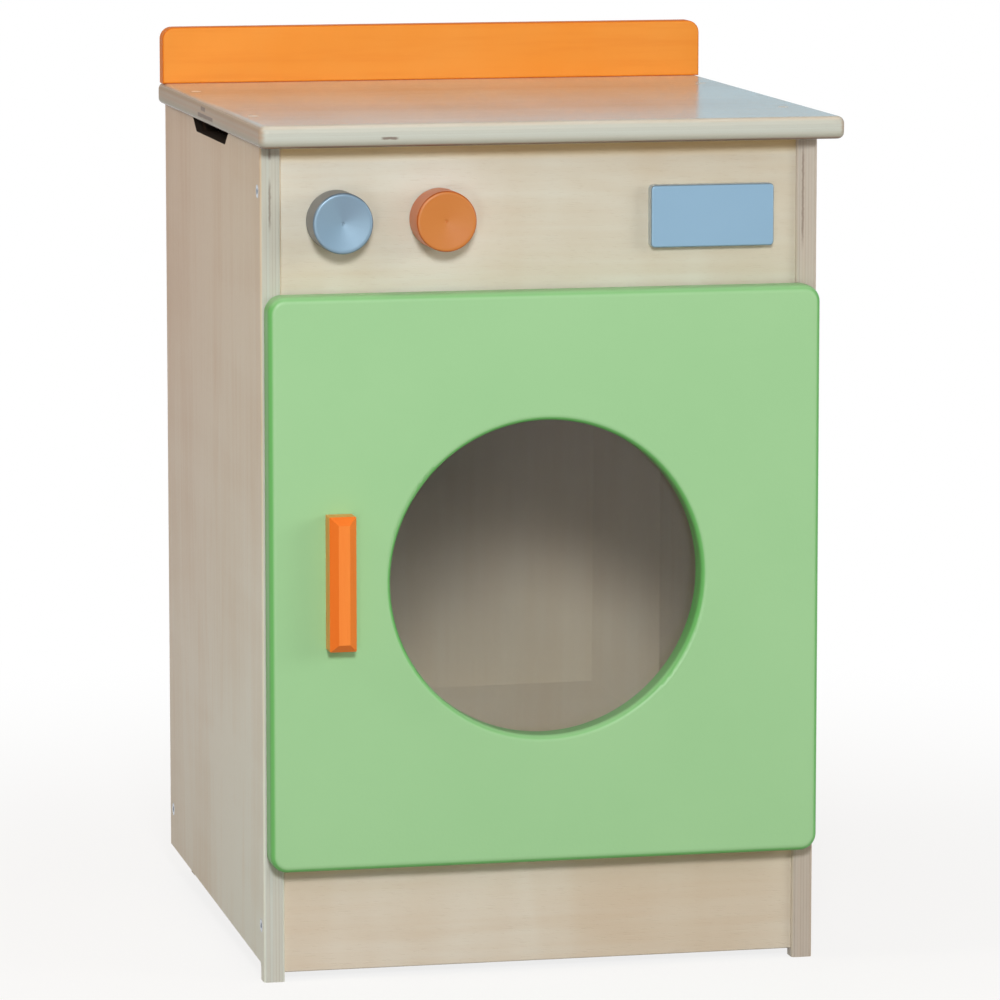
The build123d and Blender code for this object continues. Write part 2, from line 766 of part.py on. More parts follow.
os.makedirs("parts", exist_ok=True)
to_origin = Pos(-middle_x, -middle_y, 0)
for name, piece in pieces.items():
    export_step(to_origin * piece, os.path.join("parts", name + ".step"))
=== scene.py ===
import json
import math

import bmesh
import bpy
from mathutils import Matrix, Vector


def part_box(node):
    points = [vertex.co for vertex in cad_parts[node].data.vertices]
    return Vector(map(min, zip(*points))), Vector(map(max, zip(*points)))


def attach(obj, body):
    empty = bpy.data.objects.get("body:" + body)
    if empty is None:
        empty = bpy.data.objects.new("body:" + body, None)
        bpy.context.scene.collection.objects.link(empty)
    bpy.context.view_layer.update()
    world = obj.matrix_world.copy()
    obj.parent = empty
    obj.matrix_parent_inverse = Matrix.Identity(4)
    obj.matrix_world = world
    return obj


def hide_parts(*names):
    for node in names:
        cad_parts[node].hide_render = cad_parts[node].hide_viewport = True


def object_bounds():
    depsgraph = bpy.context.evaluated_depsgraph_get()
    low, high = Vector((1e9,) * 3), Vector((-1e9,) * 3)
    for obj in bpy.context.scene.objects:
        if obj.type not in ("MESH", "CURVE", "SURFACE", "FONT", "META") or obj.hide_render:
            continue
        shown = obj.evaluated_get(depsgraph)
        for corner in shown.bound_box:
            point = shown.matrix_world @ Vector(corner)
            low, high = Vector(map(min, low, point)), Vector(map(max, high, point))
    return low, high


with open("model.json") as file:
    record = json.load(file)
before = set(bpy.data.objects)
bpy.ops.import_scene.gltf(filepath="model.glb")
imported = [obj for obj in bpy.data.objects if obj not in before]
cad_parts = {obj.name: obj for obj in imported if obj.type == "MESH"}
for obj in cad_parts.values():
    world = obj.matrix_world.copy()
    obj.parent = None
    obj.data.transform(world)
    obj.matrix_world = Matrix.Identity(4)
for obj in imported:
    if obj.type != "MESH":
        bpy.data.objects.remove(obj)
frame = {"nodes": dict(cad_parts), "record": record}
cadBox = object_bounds()
nodes = frame["nodes"]
bodyOfNode = {n: body for body, names in frame["record"]["behaviour"]["bodies"].items() for n in names}
slotOfNode = {part["node"]: part["material_slot"] for part in frame["record"]["subparts"]}
print("frame loaded:", len(nodes), "nodes")


class Value:
    # one output of a node, so that sums on it read as sums
    def __init__(self, finish, socket):
        self.finish = finish
        self.socket = socket

    def math(self, operation, *others):
        return self.finish.node("ShaderNodeMath", {"operation": operation}, [self, *others])

    def __add__(self, other):
        return self.math("ADD", other)

    def __sub__(self, other):
        return self.math("SUBTRACT", other)

    def __mul__(self, other):
        return self.math("MULTIPLY", other)

    def __truediv__(self, other):
        return self.math("DIVIDE", other)

    def __mod__(self, other):
        return self.math("FLOORED_MODULO", other)

    def __pow__(self, other):
        return self.math("POWER", other)

    def __abs__(self):
        return self.math("ABSOLUTE")

    def __rsub__(self, other):
        return self.finish.node("ShaderNodeMath", {"operation": "SUBTRACT"}, [other, self])

    __radd__ = __add__
    __rmul__ = __mul__


class Finish:
    # the nodes of one material, or of the world
    def __init__(self, holder):
        holder.use_nodes = True
        self.holder = holder
        self.tree = holder.node_tree
        self.tree.nodes.clear()

    def node(self, kind, settings=None, sockets=None, output=0):
        made = self.tree.nodes.new(kind)
        for name, value in (settings or {}).items():
            setattr(made, name, value)
        pairs = enumerate(sockets) if isinstance(sockets, list) else (sockets or {}).items()
        for key, value in pairs:
            if isinstance(value, Value):
                self.tree.links.new(value.socket, made.inputs[key])
            else:
                made.inputs[key].default_value = value
        return Value(self, made.outputs[output]) if len(made.outputs) else None

    def coordinates(self, kind="Object"):
        # Object is the frame itself in metres, because every piece's origin is the frame's
        return self.node("ShaderNodeTexCoord", output=kind)

    def split(self, vector):
        return [self.node("ShaderNodeSeparateXYZ", sockets=[vector], output=part) for part in range(3)]

    def join(self, parts):
        return self.node("ShaderNodeCombineXYZ", sockets=list(parts))

    def stretch(self, vector, amounts):
        return self.node("ShaderNodeVectorMath", {"operation": "MULTIPLY"}, [vector, amounts])

    def noise(self, vector, scale=1.0, detail=2.0, rough=0.5, warp=0.0, stretch=None):
        # scale says how often the pattern repeats in a metre, and stretch says it for each axis
        if stretch:
            vector = self.stretch(vector, stretch)
        sockets = {"Vector": vector, "Scale": scale, "Detail": detail}
        sockets.update({"Roughness": rough, "Distortion": warp})
        return self.node("ShaderNodeTexNoise", sockets=sockets)

    def random(self, value):
        # one steady number, 0 to 1, for each value
        return self.node("ShaderNodeTexWhiteNoise", {"noise_dimensions": "1D"}, {"W": value})

    def step(self, value, low, high):
        # 0 below low, 1 above high and soft between
        sockets = {"Value": value, "From Min": low, "From Max": high}
        return self.node("ShaderNodeMapRange", {"interpolation_type": "SMOOTHSTEP"}, sockets)

    def mix(self, amount, first, second, blend="MIX"):
        settings = {"data_type": "RGBA", "blend_type": blend}
        return self.node("ShaderNodeMix", settings, {0: amount, 6: opaque(first), 7: opaque(second)}, 2)

    def blend(self, amount, first, second):
        # two shaders in one
        return self.node("ShaderNodeMixShader", sockets=[amount, first, second])

    def rays(self, *kinds):
        # 1 for rays of any of these kinds
        found = [self.node("ShaderNodeLightPath", output=kind) for kind in kinds]
        whole = found[0]
        for ray in found[1:]:
            whole = whole.math("MAXIMUM", ray)
        return whole

    def surface(self, colour, roughness, height, depth, sockets):
        # the shader itself: depth is the bump's size in metres, and sockets holds constants
        values = dict(sockets)
        values["Base Color"] = opaque(colour)
        values["Roughness"] = roughness
        values["Normal"] = self.node("ShaderNodeBump", sockets={"Height": height, "Distance": depth})
        shader = self.node("ShaderNodeBsdfPrincipled", sockets=values)
        return self.output(shader)

    def output(self, shader, kind="ShaderNodeOutputMaterial"):
        self.node(kind, sockets=[shader])
        return self.holder


def newFinish(name):
    return Finish(bpy.data.materials.new(name))


def opaque(colour):
    return (*colour, 1.0) if isinstance(colour, tuple) and len(colour) == 3 else colour


def seen(red, green, blue):
    # a colour as a picture shows it, 0 to 255, as the linear one that shaders take
    parts = [part / 255 for part in (red, green, blue)]
    return tuple(p / 12.92 if p <= 0.04045 else ((p + 0.055) / 1.055) ** 2.4 for p in parts)


def dress(nodeName, material):
    for slot in nodes[nodeName].material_slots:
        slot.material = material


# Plywood: the layers run through the sheet, so edges, slots and holes show them. Pairs are where
# a soft step starts and ends, and a stretch is along the grain and twice across it
ply = {
    "pale": seen(222, 218, 206),
    "warm": seen(209, 193, 171),
    "pore": seen(172, 146, 116),
    "edge": seen(200, 206, 200),  # long grain on a sanded edge
    "endGrain": seen(176, 152, 122),
    "glue": seen(132, 108, 80),
    "void": seen(104, 80, 66),
    "slot": seen(30, 18, 16),  # painted shade inside the finger slots
    "paintedShadowTint": (1.2, 0.98, 0.62),  # painted shadow, warm and dark, under the worktop's overhang and under the door
    "paintedShadowFade": 0.011,
    # patterns of the grain, and how much each of them warms the colour
    "figure": {"stretch": (1.1, 9.0, 9.0), "detail": 3.0, "rough": 0.55, "warp": 0.5},
    "streak": {"stretch": (7.0, 160.0, 160.0), "detail": 4.0, "rough": 0.6},
    "curl": {"stretch": (15.0, 2.4, 2.4), "warp": 0.4},
    "cloud": {"scale": 5.0, "detail": 3.0},
    "pores": {"stretch": (150.0, 1500.0, 1500.0), "detail": 1.0},
    "speck": {"scale": 1400.0, "detail": 1.0},
    "ringCount": 70.0,  # growth lines in the figure
    "figureStep": (0.3, 0.72),
    "warmth": {"figure": 0.55, "rings": 0.12, "streak": 0.55, "cloud": 0.8, "curl": 1.1},
    "poreStep": (0.6, 0.72),
    "poreShare": 0.09,
    # edges: how far a face turns before it counts as one, and how much of each tone they take
    "cutStep": (0.3, 0.85),
    "endStep": (0.05, 0.95),
    "edgeShare": 0.75,
    "crossShare": 0.18,  # how much of the end-grain tone the crosswise layers take
    "endShare": 0.5,
    "speckRange": (0.75, 0.5),  # least end-grain tone, and what the specks add
    "layerShare": 0.16,
    "skin": 0.4,  # of a layer: what faces count as, so that they don't fall on a border
    "layerShift": 3.7,  # moves the pattern from one layer to the next
    # glue lines, in layers
    "glueWidth": 0.16,
    "glueShare": 0.5,
    "glueFade": (0.5, 0.6),  # none at the sheet's own faces
    "wander": (18.0, 5.3),  # how a seam comes and goes along the sheet, and from seam to seam
    "wanderStep": (0.45, 0.7),
    "wanderShare": 0.4,
    "seamSeed": 2.7,
    # marks
    "slotShadeShare": 0.96,
    "voidShare": 0.55,
    "ragged": {"scale": 260.0},
    "raggedness": 0.0012,  # metres
    "paintedEndShadeStep": (0.3, 0.9),
    "paintedEndShadeShare": 0.7,
    "paintedLowShadeStep": (1.0, 4.5),  # painted shade on the lower layers, counted from the underside
    "paintedUnderStep": (0.35, 0.9),
    "outerStep": (0.3, 0.9),
    # relief and gloss
    "relief": {"streak": 0.35, "pores": 0.5, "glue": 0.5, "void": 0.8},
    "depth": 0.00012,
    "roughness": 0.34,
    "roughShares": {"cut": 0.25, "streak": 0.1, "cloud": 0.06},
    "gloss": {"Specular IOR Level": 0.4},
}


class Plywood(Finish):
    # the finish of one sheet, whose thinnest way runs through its layers
    def __init__(self, node, sheet):
        super().__init__(bpy.data.materials.new("ply_" + node))
        look = sheet.get("look", ply)
        self.sheet = sheet
        self.look = look
        self.low, self.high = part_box(node)
        size = self.high - self.low
        along = sheet["along"]
        through = min(range(3), key=lambda axis: size[axis])
        across = 3 - along - through
        self.along = along
        self.whole = self.coordinates()
        self.place = self.split(self.whole)
        self.normal = self.split(self.coordinates("Normal"))
        self.facing = [abs(part) for part in self.normal]
        self.outward = self.normal[through]

        level = (self.place[through] - self.low[through]) / (size[through] / sheet["layers"])
        level = level.math("MAXIMUM", look["skin"])
        self.level = level.math("MINIMUM", sheet["layers"] - look["skin"])
        layer = self.level.math("FLOOR")
        turned = layer % 2.0  # 1 where the layer lies crosswise
        straight = 1 - turned
        self.lengthwise = self.place[along] * straight + self.place[across] * turned
        sideways = self.place[across] * straight + self.place[along] * turned
        self.cut = 1 - self.step(self.facing[through], *look["cutStep"])  # 1 on the sheet's edges
        endCut = self.facing[along] * straight + self.facing[across] * turned * look["crossShare"]
        self.endCut = self.step(endCut, *look["endStep"]) * self.cut
        self.shift = layer * look["layerShift"] + sheet["seed"]
        self.grain = self.join([self.lengthwise, sideways + self.shift, self.place[through] + self.shift])

    def grainColour(self):
        # broad flame figure, growth lines, short pores and slow clouds
        look, warmth = self.look, self.look["warmth"]
        figure = self.noise(self.grain, **look["figure"])
        rings = (figure * look["ringCount"]).math("SINE") * 0.5 + 0.5
        self.streak = self.noise(self.grain, **look["streak"])
        self.pores = self.step(self.noise(self.grain, **look["pores"]), *look["poreStep"])
        self.pores = self.pores * (1 - self.endCut)
        self.cloud = self.noise(self.whole, **look["cloud"])
        curl = self.noise(self.grain, **look["curl"])
        toWarm = self.step(figure, *look["figureStep"]) * warmth["figure"] + rings * warmth["rings"]
        toWarm = toWarm + (self.streak - 0.5) * warmth["streak"]
        toWarm = toWarm + (self.cloud - 0.5) * warmth["cloud"] + (curl - 0.5) * warmth["curl"]
        colour = self.mix(toWarm, look["pale"], look["warm"])
        return self.mix(self.pores * look["poreShare"], colour, look["pore"])

    def edgeColour(self, colour):
        # sanded edges, with end grain in every second layer and its own tone in each
        look = self.look
        least, more = look["speckRange"]
        colour = self.mix(self.cut * look["edgeShare"], colour, look["edge"])
        specks = self.noise(self.whole, **look["speck"]) * more + least
        colour = self.mix(self.endCut * specks * look["endShare"], colour, look["endGrain"])
        return self.mix(self.random(self.shift) * self.cut * look["layerShare"], colour, look["warm"])

    def glueLines(self):
        # each seam has its own strength, and it comes and goes along the sheet
        look, layers, seed = self.look, self.sheet["layers"], self.sheet["seed"]
        seam = abs((self.level + 0.5) % 1.0 - 0.5)  # 0 on a glue line, between two layers
        number = (self.level + 0.5).math("FLOOR")
        start, end = look["glueFade"]
        inner = self.step(self.level, start, end) * (1 - self.step(self.level, layers - end, layers - start))
        lengthScale, seamShift = look["wander"]
        spread = self.join([self.lengthwise * lengthScale, number * seamShift + seed, 0.0])
        wander = self.step(self.noise(spread), *look["wanderStep"])
        share = look["wanderShare"]
        strength = self.random(number * look["seamSeed"] + seed) * (1 - share) + wander * share
        line = (1 - self.step(seam, 0.0, look["glueWidth"])) * inner * self.cut
        return line * strength * look["glueShare"]

    def spot(self, place, box):
        # 1 inside a box with soft sides: {axis: (low, high, softness)}
        inside = None
        for axis, (low, high, soft) in box.items():
            part = self.step(place[axis], low, low + soft)
            part = part * (1 - self.step(place[axis], high - soft, high))
            inside = part if inside is None else inside * part
        return inside

    def paintedShade(self, colour):
        # painted shade: dark inside the finger slots, and darker ends and lower layers on the worktop's
        # edges
        look = self.look
        for box in self.sheet.get("slots", ()):
            dark = self.spot(self.place, box) * self.cut * look["slotShadeShare"]
            colour = self.mix(dark, colour, look["slot"])
        if "paintedEndShade" in look:
            end = self.step(self.facing[self.along], *look["paintedEndShadeStep"]) * look["paintedEndShadeShare"]
            colour = self.mix(end, colour, look["paintedEndShade"])
        if "paintedLowShade" in look:
            underside = (1 - self.step(self.level, *look["paintedLowShadeStep"])) * self.cut
            colour = self.mix(underside, colour, look["paintedLowShade"])
        return colour

    def openJoints(self, colour, height):
        # places inside the sheet where two pieces of a layer don't meet, with ragged sides
        look = self.look
        if "voids" in self.sheet:
            ragged = self.stretch(self.noise(self.whole, **look["ragged"]), (look["raggedness"],) * 3)
            moved = self.node("ShaderNodeVectorMath", {"operation": "ADD"}, [self.whole, ragged])
            place = self.split(moved)
            for box in self.sheet["voids"]:
                dark = self.spot(place, box)
                colour = self.mix(dark * look["voidShare"], colour, look["void"])
                height = height - dark * look["relief"]["void"]
        return colour, height

    def tinted(self, colour, shadeTints):
        # painted light and shade: each tint changes slowly along its axis, from the low end to the high end
        for axis, (first, last) in shadeTints.items():
            tint = self.mix(self.step(self.place[axis], self.low[axis], self.high[axis]), first, last)
            colour = self.mix(1.0, colour, tint, "MULTIPLY")
        return colour

    def lightAndShadeTones(self, bare):
        look, sheet = self.look, self.sheet
        colour = self.tinted(bare, sheet.get("shadeTints", {}))
        if "edgeShadeTints" in sheet:
            colour = self.mix(self.cut, colour, self.tinted(bare, sheet["edgeShadeTints"]))
        # the outer face takes its own tint in place of the painted shade tints
        if "outerShadeTint" in sheet:
            outer = self.mix(1.0, bare, sheet["outerShadeTint"], "MULTIPLY")
            colour = self.mix(self.step(self.outward, *look["outerStep"]), colour, outer)
        # painted shadow: a warm, darker band from the given height upward
        if "paintedShadowFrom" in sheet:
            start = sheet["paintedShadowFrom"]
            paintedShadowTint = self.mix(1.0, colour, look["paintedShadowTint"], "MULTIPLY")
            colour = self.mix(self.step(self.place[2], start, start + look["paintedShadowFade"]), colour, paintedShadowTint)
        # painted shade on faces that look down
        if "paintedUnderShade" in look:
            under = self.step(0 - self.normal[2], *look["paintedUnderStep"])
            colour = self.mix(under, colour, look["paintedUnderShade"])
        return colour

    def material(self):
        look, relief, shares = self.look, self.look["relief"], self.look["roughShares"]
        colour = self.edgeColour(self.grainColour())
        glue = self.glueLines()
        colour = self.mix(glue, colour, look["glue"])
        height = self.streak * relief["streak"] - self.pores * relief["pores"] - glue * relief["glue"]
        colour, height = self.openJoints(self.paintedShade(colour), height)
        roughness = self.cut * shares["cut"] + self.streak * shares["streak"]
        roughness = roughness + self.cloud * shares["cloud"] + look["roughness"]
        return self.surface(self.lightAndShadeTones(colour), roughness, height, look["depth"], look["gloss"])


# Each sheet: the axis of its face grain, its layers, tints of painted light and shade for {axis: (low end,
# high end)}, where its pattern starts, and in metres the open joints that show as dark marks, and its finger
# slots
# the box of each finger slot, whose inside walls are painted dark as shade
fingerSlotShade = {1: (-0.058, 0.0975, 0.001), 2: (0.5795, 0.593, 0.001)}
# the side panels' sanded edges, painted for the light: cooler on the left, warmer and duller on the right
leftEdgeLightLook = {**ply, "edge": seen(190, 206, 209)}
rightEdgeLightLook = {**ply, "edge": seen(194, 199, 191)}
# The worktop has a glossier lacquer, and knots and open joints in its edges
# Its ends, the lower layers of its edges and its underside are darker, as painted shade
topLook = {
    **ply,
    "edge": seen(194, 202, 195),
    "paintedLowShade": seen(171, 173, 161),
    "paintedEndShade": seen(184, 156, 132),
    "paintedUnderShade": seen(118, 90, 66),
    "edgeShare": 0.95,
    "endShare": 0.35,
    "glueShare": 0.22,
    "voidShare": 0.8,
    "roughness": 0.12,
    "gloss": {"Specular IOR Level": 0.5},
}
# the shelves inside are darker, as painted shade
shelfShadeTints = {2: ((0.8, 0.76, 0.74), (0.8, 0.76, 0.74))}
sheets = {
    "left_side_panel": {
        "look": leftEdgeLightLook,
        "along": 2,
        "layers": 7,
        # painted light: lighter and bluer low down and to the front, warmer and darker at the top
        "shadeTints": {
            2: ((1.17, 1.24, 1.28), (1.06, 0.9, 0.78)),
            1: ((1.0, 1.08, 1.11), (0.97, 0.95, 0.94)),
        },
        "edgeShadeTints": {2: ((1.04, 1.0, 0.96), (0.96, 0.92, 0.85))},
        "seed": 1.3,
        "voids": [
            {0: (-0.1981, -0.1953, 0.0013), 2: (0.530, 0.572, 0.012)},
            {0: (-0.1983, -0.1951, 0.0013), 2: (0.581, 0.594, 0.003)},
        ],
        "slots": [fingerSlotShade],
    },
    "right_side_panel": {
        "look": rightEdgeLightLook,
        "along": 2,
        "layers": 7,
        # painted shade: darker, more so at the top and on its front edge
        "shadeTints": {2: ((0.95, 0.93, 0.92), (0.9, 0.85, 0.84))},
        "edgeShadeTints": {2: ((0.9, 0.81, 0.8), (0.91, 0.84, 0.83))},
        "seed": 8.1,
        "voids": [{0: (0.1846, 0.1874, 0.0013), 2: (0.508, 0.594, 0.02)}],
        "slots": [fingerSlotShade],
    },
    "control_panel": {
        "along": 0,
        "layers": 7,
        # painted shade: darker towards the right
        "shadeTints": {0: ((1.0, 1.07, 1.1), (0.89, 0.92, 0.9))},
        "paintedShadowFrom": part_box("control_panel")[1].z - 0.014,  # painted shadow under the worktop's overhang
        "seed": 5.2,
    },
    "plinth": {
        "along": 0,
        "layers": 7,
        # painted shade: darker towards the right
        "shadeTints": {0: ((1.02, 1.03, 1.05), (0.96, 0.95, 0.93))},
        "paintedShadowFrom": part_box("door_panel")[0].z - 0.009,  # painted shadow under the door
        "seed": 2.9,
    },
    "divider_shelf": {
        "along": 0,
        "layers": 7,
        "shadeTints": shelfShadeTints,
        "outerShadeTint": (0.42, 0.3, 0.3),  # painted shade on its top, which is seen only through the finger slots
        "seed": 6.4,
    },
    "bottom_shelf": {"along": 0, "layers": 7, "shadeTints": shelfShadeTints, "seed": 4.4},
    "rear_rail": {
        "along": 0,
        "layers": 7,
        "shadeTints": {2: ((0.95, 0.92, 0.9), (0.95, 0.92, 0.9))},
        "seed": 7.7,
    },
    "back_panel": {
        "along": 2,
        "layers": 3,
        # painted shade: the inside lighter low down and darker towards the top
        "shadeTints": {2: ((1.2, 1.12, 0.98), (0.68, 0.58, 0.64))},
        "outerShadeTint": (1.0, 0.97, 0.95),  # its outside keeps its plain colour, without the painted shade of its inside
        "seed": 9.2,
    },
    "worktop": {
        "look": topLook,
        "along": 0,
        "layers": 9,
        "seed": 3.1,
        "voids": [
            {0: (-0.1240, -0.1100, 0.003), 1: (-0.209, -0.205, 0.0005), 2: (0.5966, 0.5992, 0.0008)},
            {0: (-0.2105, -0.2070, 0.0005), 1: (-0.020, 0.047, 0.004), 2: (0.5956, 0.5990, 0.0006)},
            {0: (-0.2105, -0.2070, 0.0005), 1: (0.012, 0.034, 0.004), 2: (0.6006, 0.6042, 0.0006)},
        ],
    },
}
for sheetName, sheet in sheets.items():
    dress(sheetName, Plywood(sheetName, sheet).material())
print("plywood done")


# Paint, stain and turned wood, all under lacquer. What a look doesn't say comes from here
lacquered = {
    "flatAxis": 1,  # the axis that the piece's face looks along
    "turnFrom": 0.55,  # below this the surface turns away and takes the edge colour, a painted shade
    "litSideShares": {},  # painted light: less of it on sides that face up an axis: {axis: share}
    "litSideStep": (0.2, 0.8),
    "cloud": {"scale": 9.0, "detail": 3.0, "rough": 0.55},
    "cloudRange": (-0.2, 0.9),  # least of the lift colour, and what the cloud adds
    "peel": {"scale": 420.0},
    "lines": {"detail": 4.0, "rough": 0.6},
    "lineStep": (0.42, 0.75),
    "lineHeight": 1.5,
    "patchScale": 0.08,  # of the lines' own
    "patchStep": (0.45, 0.7),
    "grainMix": 0.6,
    "marks": {"rough": 0.6},
    "marksPerMetre": 2600.0,
    "markStep": (0.4, 0.7),
    "markShare": 0.1,
    "markPeel": 0.4,  # how much of the peel is left on a turned face
    "paintedSheenStep": (0.45, 1.0),
    # painted light and reflection: how far a face turns side-on before it takes the side colour
    "sideStep": (0.05, 0.3),
    "cloudRough": 0.1,
    "depth": 0.00006,
}
# sprayed lacquer; the door's rounded edges take a deeper green as painted shade, and less of it on top
greenPaint = {
    "face": seen(157, 209, 155),
    "edge": seen(110, 190, 107),
    "lift": seen(165, 214, 162),
    "litSideShares": {2: 0.25},  # painted light: how much of the deeper edge colour shows on top
    "turnFrom": 0.78,
    "roughness": 0.35,
    "gloss": {"Specular IOR Level": 0.3},
}
# orange stain, which the wood's grain shows through; edges deeper as painted shade, ends lighter as painted
# light
orangeStain = {
    "face": seen(244, 151, 50),
    "lift": seen(244, 172, 86),
    "edge": seen(242, 124, 24),
    "side": seen(252, 146, 52),
    "grain": seen(232, 132, 40),
    "grainStretch": (8.0, 120.0, 120.0),
    "grainShare": 0.5,
    "roughness": 0.5,
    "gloss": {"Specular IOR Level": 0.2},
}
# the handle: bevels deeper orange as painted shade, less so on the right, and sides lighter as painted light
orangeHandle = {
    "face": seen(250, 138, 48),
    "lift": seen(246, 148, 64),
    "edge": seen(240, 114, 22),
    "litSideShares": {0: 0.2},  # painted light: less of the edge's shade on the right
    "side": seen(226, 154, 66),
    "grain": seen(236, 110, 28),
    "grainStretch": (400.0, 400.0, 20.0),
    "grainShare": 0.4,
    "roughness": 0.35,
    "gloss": {"Specular IOR Level": 0.35},
}
# the orange knob: its rim darker as painted shade, its side a painted reflection, and a faint painted sheen
orangeTurned = {
    "face": seen(200, 123, 50),
    "lift": seen(206, 133, 62),
    "edge": seen(186, 88, 22),
    "side": seen(232, 124, 56),
    "grain": seen(200, 114, 48),
    "grainStretch": (25.0, 300.0, 300.0),
    "grainShare": 0.35,
    "toolMarks": 0.25,
    # painted sheen: its direction and strength
    "paintedSheen": (0.6, -0.8, 0.06),
    "roughness": 0.33,
    "gloss": {"Specular IOR Level": 0.5},
}
# the silver knob: its rim darker as painted shade, its side a painted reflection, its face a painted sheen
silverTurned = {
    "face": seen(125, 152, 172),
    "lift": seen(135, 162, 182),
    "edge": seen(112, 132, 152),
    "side": seen(118, 121, 125),
    "toolMarks": 0.35,
    "paintedSheen": (0.42, 0.91, 0.4),  # painted sheen: its direction and strength
    "roughness": 0.33,
    "gloss": {"Metallic": 0.4, "Specular IOR Level": 0.5},
}
# the display: its turned edges darker as painted shade, its sides lighter as painted highlight
silverPaint = {
    "face": seen(137, 174, 202),
    "lift": seen(146, 183, 211),
    "edge": seen(132, 158, 180),
    "side": seen(196, 208, 214),
    "roughness": 0.33,
    "gloss": {"Metallic": 0.25, "Specular IOR Level": 0.5},
}
turnedWood = {
    "face": seen(250, 240, 222),
    "lift": seen(252, 246, 232),
    "edge": seen(222, 202, 172),
    "flatAxis": 2,
    "grain": seen(222, 198, 166),
    "grainStretch": (300.0, 300.0, 30.0),
    "grainShare": 0.3,
    "roughness": 0.65,
    "gloss": {"Specular IOR Level": 0.15},
}
paleCaps = {
    **turnedWood,
    "face": seen(255, 253, 246),
    "lift": seen(255, 255, 250),
    "edge": seen(236, 222, 200),
    "grainShare": 0.15,
    "roughness": 0.45,
}


def stainedGrain(finish, whole, look, colour, height):
    # lines along the grain, and slow patches of them
    stretch = look["grainStretch"]
    lines = finish.noise(whole, stretch=stretch, **look["lines"])
    patch = finish.noise(whole, stretch=tuple(part * look["patchScale"] for part in stretch))
    shade = finish.step(lines, *look["lineStep"]) + finish.step(patch, *look["patchStep"])
    colour = finish.mix(shade * look["grainMix"] * look["grainShare"], colour, look["grain"])
    return colour, height + lines * look["lineHeight"]


def toolMarks(finish, whole, look, middle, colour, height):
    # a lathe's marks run round the middle of the piece, and a painted sheen darkens one sector of the face
    place = finish.split(whole)
    reach = [place[axis] - middle[axis] for axis in (0, 2)]
    radius = (reach[0] ** 2.0 + reach[1] ** 2.0) ** 0.5
    marks = finish.noise(finish.join([radius * look["marksPerMetre"], 0.0, 0.0]), **look["marks"])
    colour = finish.mix(finish.step(marks, *look["markStep"]) * look["markShare"], colour, look["edge"])
    rightward, upward, strength = look["paintedSheen"]
    lean = (reach[0] * rightward + reach[1] * upward) / (radius + 0.0001)  # never by 0
    colour = finish.mix(finish.step(lean, *look["paintedSheenStep"]) * strength, colour, look["edge"])
    return colour, height * look["markPeel"] + marks * look["toolMarks"]


def lacquer(name, ownLook, middle=None):
    # smooth paint with a faint orange peel, and a deeper colour, as painted shade, where the surface turns
    # away
    look = {**lacquered, **ownLook}
    finish = newFinish(name)
    whole = finish.coordinates()
    normal = finish.split(finish.coordinates("Normal"))
    flat = abs(normal[look["flatAxis"]])
    turnedAwayShade = 1 - finish.step(flat, look["turnFrom"], 1.0)
    # painted light: less of the edge colour on sides that face the given axes
    for axis, share in look["litSideShares"].items():
        turnedAwayShade = turnedAwayShade * (1 - finish.step(normal[axis], *look["litSideStep"]) * (1 - share))
    cloud = finish.noise(whole, **look["cloud"])
    height = finish.noise(whole, **look["peel"])
    least, more = look["cloudRange"]
    colour = finish.mix(cloud * more + least, look["face"], look["lift"])
    if "grain" in look:
        colour, height = stainedGrain(finish, whole, look, colour, height)
    if middle:
        colour, height = toolMarks(finish, whole, look, middle, colour, height)
    colour = finish.mix(turnedAwayShade, colour, look["edge"])
    # painted light and reflection: side-on faces take the side colour
    if "side" in look:
        colour = finish.mix(1 - finish.step(flat, *look["sideStep"]), colour, look["side"])
    roughness = cloud * look["cloudRough"] + look["roughness"]
    return finish.surface(colour, roughness, height, look["depth"], look["gloss"])


def middleOf(node):
    low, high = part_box(node)
    return (low + high) / 2


dowelWood = lacquer("turned_beech", turnedWood)
paints = {
    "door_panel": lacquer("door_green", greenPaint),
    "door_handle": lacquer("handle_orange", orangeHandle),
    "backsplash": lacquer("splash_orange", orangeStain),
    "orange_knob": lacquer("knob_orange", orangeTurned, middleOf("orange_knob")),
    "silver_knob": lacquer("knob_silver", silverTurned, middleOf("silver_knob")),
    "display_block": lacquer("display_silver", silverPaint),
    "frame_dowels": dowelWood,
    "backsplash_dowels": dowelWood,
    "worktop_screw_caps": lacquer("pale_caps", paleCaps),
}
for nodeName, material in paints.items():
    dress(nodeName, material)
print("paint done")


# Fittings: plated or bare steel with fine drawing marks and duller patches, and moulded nylon
steel = {
    "marks": {"stretch": (600.0, 600.0, 60.0), "detail": 3.0, "rough": 0.6},
    "patches": {"scale": 180.0},
    "patchShare": 0.35,
    "dull": 0.72,
    "roughShares": (0.18, 0.12),  # what the marks and the patches add to the roughness
    "depth": 0.00003,
    "gloss": {"Metallic": 1.0},
}
plastic = {
    "marks": {"scale": 2500.0},
    "patches": {"scale": 60.0},
    "patchShare": 0.3,
    "dull": 0.86,
    "roughShares": (0.12, 0.0),
    "depth": 0.00004,
    "gloss": {"Specular IOR Level": 0.4},
}


def fitting(name, form, colour, roughness):
    finish = newFinish(name)
    whole = finish.coordinates()
    marks = finish.noise(whole, **form["marks"])
    patches = finish.noise(whole, **form["patches"])
    tone = finish.mix(patches * form["patchShare"], colour, tuple(part * form["dull"] for part in colour))
    markShare, patchShare = form["roughShares"]
    rough = marks * markShare + patches * patchShare + roughness
    return finish.surface(tone, rough, marks, form["depth"], form["gloss"])


